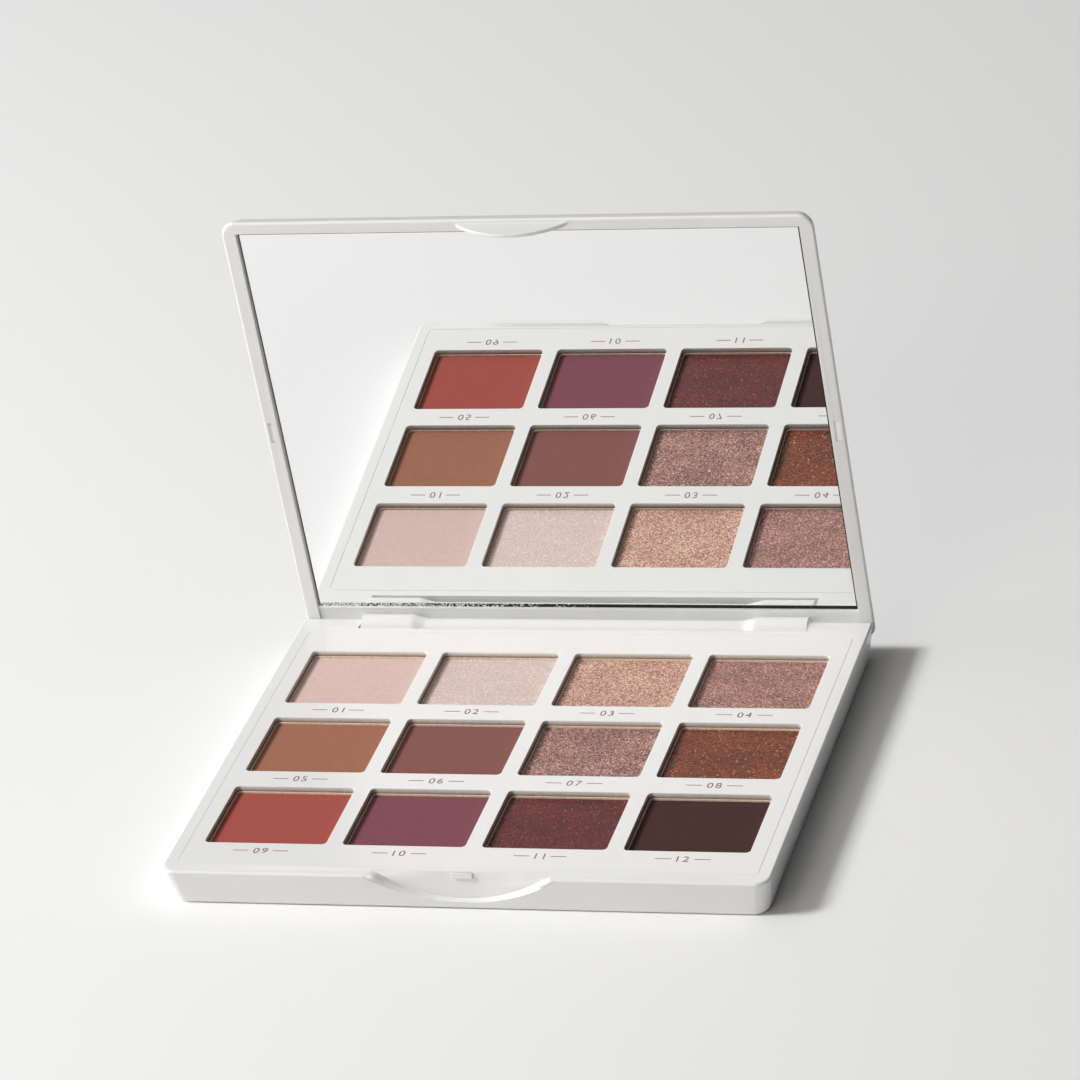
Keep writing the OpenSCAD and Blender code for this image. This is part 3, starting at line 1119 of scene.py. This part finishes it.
@dataclass
class ShadeNumbers:
    """The printed shade number in front of each pan, between two short rules.

    Attributes:
        height: Height of the figures.
        offset: From a window's front edge to the middle of the print.
        film: Thickness of the ink.
        rule: Length of each rule.
        rule_width: Width of each rule.
        gap: From the figures to a rule.
        cap: Height of a figure as a share of the font's size.
        spacing: How far the figures stand apart, where 1 is the font's own way.
    """

    height: float = 2.0 * MM
    offset: float = 3.05 * MM
    film: float = 0.02 * MM
    rule: float = 3.4 * MM
    rule_width: float = 0.22 * MM
    gap: float = 1.1 * MM
    cap: float = 0.7
    spacing: float = 1.25

    def build(self) -> list[bpy.types.Object]:
        """Builds and dresses the prints.

        Returns:
            The pieces.
        """
        ink = INK.make("shade_ink")
        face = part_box("pan_plate")[1].z
        made = []
        for number in range(1, PAN_COUNT + 1):
            low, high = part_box(f"pan_{number:02d}")
            middle = Vector(((low.x + high.x) / 2, low.y - self.offset, face))
            bm = self.figures(f"{number:02d}")
            width = max(v.co.x for v in bm.verts) - min(v.co.x for v in bm.verts)
            for side in (-1, 1):
                start = side * (width / 2 + self.gap + self.rule / 2)
                bar = RoundRect(start, 0.0, self.rule, self.rule_width, self.rule_width / 2.01, 4)
                strip = loft(bar, [(0.0, 0.0), (0.0, self.film)])
                mesh = bpy.data.meshes.new("rule")
                strip.to_mesh(mesh)
                strip.free()
                bm.from_mesh(mesh)
                bpy.data.meshes.remove(mesh)
            bm.transform(Matrix.Translation(middle))
            piece = place_piece(f"shade_number_{number:02d}", bm, BASE_BODY)
            dress(piece, ink)
            made.append(piece)
        return made

    def figures(self, text: str) -> bmesh.types.BMesh:
        """A number as a thin solid, centred on the origin.

        Args:
            text: The figures.

        Returns:
            The mesh.
        """
        curve = bpy.data.curves.new("figures", "FONT")
        curve.body = text
        curve.size = self.height / self.cap
        curve.space_character = self.spacing
        curve.resolution_u = 5
        curve.extrude = self.film / 2
        holder = bpy.data.objects.new("figures", curve)
        bpy.context.scene.collection.objects.link(holder)
        mesh = bpy.data.meshes.new_from_object(holder.evaluated_get(bpy.context.evaluated_depsgraph_get()))
        bm = bmesh.new()
        bm.from_mesh(mesh)
        bmesh.ops.remove_doubles(bm, verts=bm.verts, dist=0.0005 * MM)
        bpy.data.objects.remove(holder)
        bpy.data.curves.remove(curve)
        bpy.data.meshes.remove(mesh)
        xs = [v.co.x for v in bm.verts]
        ys = [v.co.y for v in bm.verts]
        shift = Vector((-(min(xs) + max(xs)) / 2, -(min(ys) + max(ys)) / 2, self.film / 2))
        bmesh.ops.translate(bm, vec=shift, verts=bm.verts)
        return bm


@dataclass
class HingePins:
    """The two steel pins that the lid turns on, with chamfered ends.

    Attributes:
        chamfer: Size of the chamfer.
        steps: Facets round a pin.
    """

    chamfer: float = 0.18 * MM
    steps: int = 32

    def build(self) -> list[bpy.types.Object]:
        """Builds and dresses the pins.

        Returns:
            The pieces.
        """
        steel = STEEL.make("hinge_steel")
        made = []
        for side in ("left", "right"):
            low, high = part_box(f"hinge_pin_{side}")
            radius = (high.z - low.z) / 2
            centre = (high + low) / 2
            stations = (
                (low.x, radius - self.chamfer),
                (low.x + self.chamfer, radius),
                (high.x - self.chamfer, radius),
                (high.x, radius - self.chamfer),
            )
            turns = [2 * math.pi * i / self.steps for i in range(self.steps)]
            bm = bmesh.new()
            loops = [
                [bm.verts.new((x, centre.y + r * math.cos(t), centre.z + r * math.sin(t))) for t in turns]
                for x, r in stations
            ]
            bridge(bm, loops)
            bm.faces.new(loops[0])
            bm.faces.new(loops[-1])
            piece = place_piece(f"steel_pin_{side}", bm, BASE_BODY)
            dress(piece, steel)
            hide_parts(f"hinge_pin_{side}")
            made.append(piece)
        return made


@dataclass
class Lid:
    """The lid's moulding, its adhesive sheet and the mirror.

    Attributes:
        inner_round: Rounding of the rim's inner edge.
        tab_round: Rounding of the thumb tab's edges.
        margin: Gap round the mirror.
        plain_foot: Height above the recess's foot where the rounding of its sides starts.
        rim_cut: From the lid's outline to the planes that split its rim.
        above_mirror: From the recess to the part of the rim that gives its height.
        tab_rise: Height above the rim from which the thumb tab is rounded.
        arris: Size of the chamfer along the mirror's front edge.
        cut_strip: Width of the strip of painted glints at the mirror's foot.
        left_strip: Width of the strip of painted shade at its left side.
        right_strip: Width of the strip of painted shade at its right side.
        top_strip: Width of the strip of painted shade along its top.
    """

    inner_round: float = 0.12 * MM
    tab_round: float = 0.12 * MM
    margin: float = 0.20 * MM
    plain_foot: float = 0.40 * MM
    rim_cut: float = 2.0 * MM
    above_mirror: float = 1.5 * MM
    tab_rise: float = 0.3 * MM
    arris: float = 0.05 * MM
    cut_strip: float = 0.90 * MM
    left_strip: float = 0.14 * MM
    right_strip: float = 0.34 * MM
    top_strip: float = 0.50 * MM

    def build(self) -> list[bpy.types.Object]:
        """Builds and dresses the lid.

        Returns:
            The pieces.
        """
        shell = self.shell()
        mirror = self.mirror()
        dress(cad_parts["mirror_tape"], TAPE.make("tape"))
        return [shell, mirror]

    def axes(self) -> tuple[Vector, Vector, Vector, Vector]:
        """The open lid's own axes, found from the mirror.

        Returns:
            The centre of the mirror's face, and the directions to the right, up along the lid and out of it.
        """
        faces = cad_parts["mirror_glass"].data.polygons
        widest = max((f for f in faces if f.normal.y < -0.5), key=lambda f: f.area)
        out = widest.normal.normalized()
        right = Vector((1.0, 0.0, 0.0))
        up = out.cross(right)
        points = [v.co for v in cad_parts["mirror_glass"].data.vertices]
        middle = Vector(
            tuple((min(p[k] for p in points) + max(p[k] for p in points)) / 2 for k in range(3))
        )
        front = max((p - middle).dot(out) for p in points)
        return middle + out * front, right, up, out

    def shell(self) -> bpy.types.Object:
        """The lid's moulding with its edges rounded.

        Returns:
            The piece.
        """
        origin, right, up, out = self.axes()
        points = [v.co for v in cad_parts["lid_shell"].data.vertices]
        across = max(abs(p.x) for p in points)
        tall = max((p - origin).dot(up) for p in points)
        glass = [v.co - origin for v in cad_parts["mirror_glass"].data.vertices]
        half_w = max(p.dot(right) for p in glass) + self.margin
        half_h = max(p.dot(up) for p in glass) + self.margin
        foot = self.plain_foot - half_h

        def local(p: Vector) -> Vector:
            """A point in the lid's own axes."""
            q = p - origin
            return Vector((q.dot(right), q.dot(up), q.dot(out)))

        beyond = half_h + self.above_mirror
        rim = max(local(p).z for p in points if local(p).y > beyond and abs(p.x) > half_w / 2)

        def on_inner(p: Vector) -> bool:
            """Whether an edge lies on the rim's inner edge."""
            q = local(p)
            side = abs(abs(q.x) - half_w) < NEAR and foot < q.y < half_h
            return abs(q.z - rim) < LEVEL and (side or abs(q.y - half_h) < NEAR)

        def on_tab(p: Vector) -> bool:
            """Whether an edge lies on the thumb tab."""
            return local(p).z > rim + self.tab_rise and local(p).y > 0

        piece = Moulding(
            "lid_shell",
            "lid_moulding",
            LID_BODY,
            (Fillet(self.inner_round, on_inner), Fillet(self.tab_round, on_tab)),
            ((origin + out * rim, out), (origin, out)),
            [
                (origin + right * x + up * y, axis)
                for x, y, axis in (
                    (0.0, 0.0, right),
                    (across - self.rim_cut, 0.0, right),
                    (self.rim_cut - across, 0.0, right),
                    (0.0, 0.0, up),
                    (0.0, tall - self.rim_cut, up),
                    (0.0, foot, up),
                )
            ],
        ).build()
        dress(piece, PLASTIC.make("case_plastic_lid"))
        return piece

    def mirror(self) -> bpy.types.Object:
        """The mirror: a silvered face, an arris, edges in painted shade and a foot with painted glints on
        broken glass.

        Returns:
            The piece.
        """
        origin, right, up, out = self.axes()
        points = [v.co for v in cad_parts["mirror_glass"].data.vertices]
        half_w = max((p - origin).dot(right) for p in points)
        half_h = max((p - origin).dot(up) for p in points)
        thick = -min((p - origin).dot(out) for p in points)
        arris = self.arris
        frames = (
            (0.0, 0.0, 0.0, 0.0, -thick),
            (0.0, 0.0, 0.0, 0.0, -arris),
            (arris, arris, arris, arris, 0.0),
            (self.left_strip, self.right_strip, self.top_strip, self.cut_strip, 0.0),
        )
        bm = bmesh.new()
        loops = []
        for at_left, at_right, at_top, at_foot, depth in frames:
            east, west, north, south = half_w - at_right, at_left - half_w, half_h - at_top, at_foot - half_h
            corners = ((east, north), (west, north), (west, south), (east, south))
            loops.append([bm.verts.new(origin + right * x + up * y + out * depth) for x, y in corners])
        # Painted light on the mirror: the strips round its face and its edges take painted shade, the foot
        # painted glints.
        silver, glitter, dark = 0, 1, 2
        foot_side = 2
        for index, strip in enumerate(bridge(bm, loops)):
            strip.material_index = glitter if index % 4 == foot_side else dark
        bm.faces.new(loops[0]).material_index = dark
        bm.faces.new(loops[-1]).material_index = silver
        piece = place_piece("mirror_plate", bm, LID_BODY)
        dress(piece, SILVER.make("mirror"), CUT_EDGE_GLINTS.make("mirror_foot_glints"), EDGE_SHADE.make("mirror_edge_shade"))
        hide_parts("mirror_glass")
        return piece


# ---------------------------------------------------------------------------------------------
# Studio
# ---------------------------------------------------------------------------------------------


@dataclass(frozen=True)
class Softbox:
    """One area light.

    Attributes:
        name: Its name.
        place: Where it hangs, in metres.
        size: Its width and height, in metres.
        power: Its power, in watts.
        tint: Its colour.
        past_lid: Whether the open lid lets it by, so that its shadow stays off the floor.
    """

    name: str
    place: tuple[float, float, float]
    size: tuple[float, float]
    power: float
    tint: Colour = (1.0, 1.0, 1.0)
    past_lid: bool = False

    def hang(self, target: Vector) -> bpy.types.Object:
        """Adds the light, turned to a target.

        Args:
            target: The point it faces.

        Returns:
            The light.
        """
        data = bpy.data.lights.new(self.name, "AREA")
        data.shape = "RECTANGLE"
        data.size, data.size_y = self.size
        data.energy = self.power
        data.color = self.tint
        light = bpy.data.objects.new(self.name, data)
        light.location = self.place
        light.rotation_euler = (target - Vector(self.place)).to_track_quat("-Z", "Y").to_euler()
        bpy.context.scene.collection.objects.link(light)
        if self.past_lid:
            free = bpy.data.collections.new(f"{self.name}_passes")
            for name in ("lid_moulding", "mirror_plate", "mirror_tape"):
                free.objects.link(bpy.data.objects[name])
            for member in free.collection_objects:
                member.light_linking.link_state = "EXCLUDE"
            light.light_linking.blocker_collection = free
        return light


@dataclass
class Studio:
    """A pale floor, soft light from the left and the camera.

    Attributes:
        azimuth: The camera's direction round the palette, in degrees.
        elevation: The camera's height above the horizon, in degrees.
        roll: The camera's roll, in degrees.
        distance: From the camera to the point it faces, in metres.
        aim: The point it faces, in metres.
        lens: Focal length for a sensor 36 mm wide, in millimetres.
        floor_size: Width of the floor.
        floor_tint: Colour of the floor.
        sky_tint: Colour of the light from all round.
        sky_left: Its strength at the left.
        sky_right: Its strength at the right.
        sky_fade: Where along X its fade starts and ends, on a unit sphere.
        softboxes: The lights.
    """

    azimuth: float = 18.79
    elevation: float = 27.69
    roll: float = -8.82
    distance: float = 1.1083
    aim: tuple[float, float, float] = (0.00345, 0.01917, 0.04543)
    lens: float = 178.53
    floor_size: float = 8.0
    floor_tint: Colour = (0.865, 0.865, 0.865)
    sky_tint: Colour = (1.0, 0.98, 0.96)
    sky_left: float = 0.40
    sky_right: float = 0.03
    sky_fade: tuple[float, float] = (-0.6, 0.5)
    softboxes: Sequence[Softbox] = field(
        default_factory=lambda: (
            Softbox("key", (-1.22, -0.45, 1.09), (0.36, 0.36), 24.8, past_lid=True),
            Softbox("top", (-1.00, 0.20, 1.70), (1.40, 1.40), 5.5),
            Softbox("front", (-0.60, -1.60, 0.90), (1.20, 0.90), 5.5, (1.0, 0.94, 0.87)),
        )
    )

    def build(self) -> None:
        """Adds the floor, the lights, the surroundings and the camera."""
        self.floor()
        target = Vector(self.aim)
        for softbox in self.softboxes:
            softbox.hang(target)
        self.surroundings()
        self.camera(target)
        view = bpy.context.scene.view_settings
        view.view_transform = "Standard"
        view.look = "None"

    def floor(self) -> None:
        """A wide pale floor with a faint mottle."""
        half = self.floor_size / 2
        bm = bmesh.new()
        corners = ((-half, -half), (half, -half), (half, half), (-half, half))
        bm.faces.new([bm.verts.new((x, y, 0.0)) for x, y in corners])
        mesh = bpy.data.meshes.new("floor")
        bm.to_mesh(mesh)
        bm.free()
        floor = bpy.data.objects.new("floor", mesh)
        bpy.context.scene.collection.objects.link(floor)
        g = Graph("floor")
        g.colour(g.shades(g.noise(0.3, 2.0), self.floor_tint, (0.3, 0.995), (0.7, 1.005)))
        g.set(Roughness=0.9, Specular_IOR_Level=0.2)
        dress(floor, g.material)

    def surroundings(self) -> None:
        """Even light from all round, which fades towards the right."""
        world = bpy.data.worlds.new("studio")
        bpy.context.scene.world = world
        world.use_nodes = True
        tree = world.node_tree
        tree.nodes.clear()
        place = tree.nodes.new("ShaderNodeTexCoord")
        split = tree.nodes.new("ShaderNodeSeparateXYZ")
        fade = tree.nodes.new("ShaderNodeMapRange")
        fade.inputs["From Min"].default_value, fade.inputs["From Max"].default_value = self.sky_fade
        fade.inputs["To Min"].default_value = self.sky_left
        fade.inputs["To Max"].default_value = self.sky_right
        back = tree.nodes.new("ShaderNodeBackground")
        back.inputs["Color"].default_value = (*self.sky_tint, 1.0)
        output = tree.nodes.new("ShaderNodeOutputWorld")
        tree.links.new(place.outputs["Generated"], split.inputs["Vector"])
        tree.links.new(split.outputs["X"], fade.inputs["Value"])
        tree.links.new(fade.outputs["Result"], back.inputs["Strength"])
        tree.links.new(back.outputs["Background"], output.inputs["Surface"])

    def camera(self, target: Vector) -> None:
        """Adds the camera.

        Args:
            target: The point it faces.
        """
        a, e, r = (math.radians(x) for x in (self.azimuth, self.elevation, self.roll))
        back = Vector((math.sin(a) * math.cos(e), -math.cos(a) * math.cos(e), math.sin(e)))
        level = Vector((math.cos(a), math.sin(a), 0.0))
        steep = back.cross(level)
        right = level * math.cos(r) + steep * math.sin(r)
        up = steep * math.cos(r) - level * math.sin(r)
        data = bpy.data.cameras.new("camera")
        data.lens = self.lens
        data.sensor_width = 36.0
        data.clip_start, data.clip_end = 0.05, 30.0
        camera = bpy.data.objects.new("camera", data)
        turn = Matrix((right, up, back)).transposed().to_4x4()
        camera.matrix_world = Matrix.Translation(target + back * self.distance) @ turn
        bpy.context.scene.collection.objects.link(camera)
        bpy.context.scene.camera = camera


def main() -> None:
    """Builds the palette's sub-assemblies in order, then the studio."""
    logging.basicConfig(level=logging.INFO, format="%(name)s: %(message)s")
    for part in (BaseShell(), PanSet(), PowderSet(), ShadeNumbers(), HingePins(), Lid()):
        for piece in part.build():
            log.info("%s: %s, %d faces", type(part).__name__, piece.name, len(piece.data.polygons))
    Studio().build()


if __name__ == "__main__":
    main()
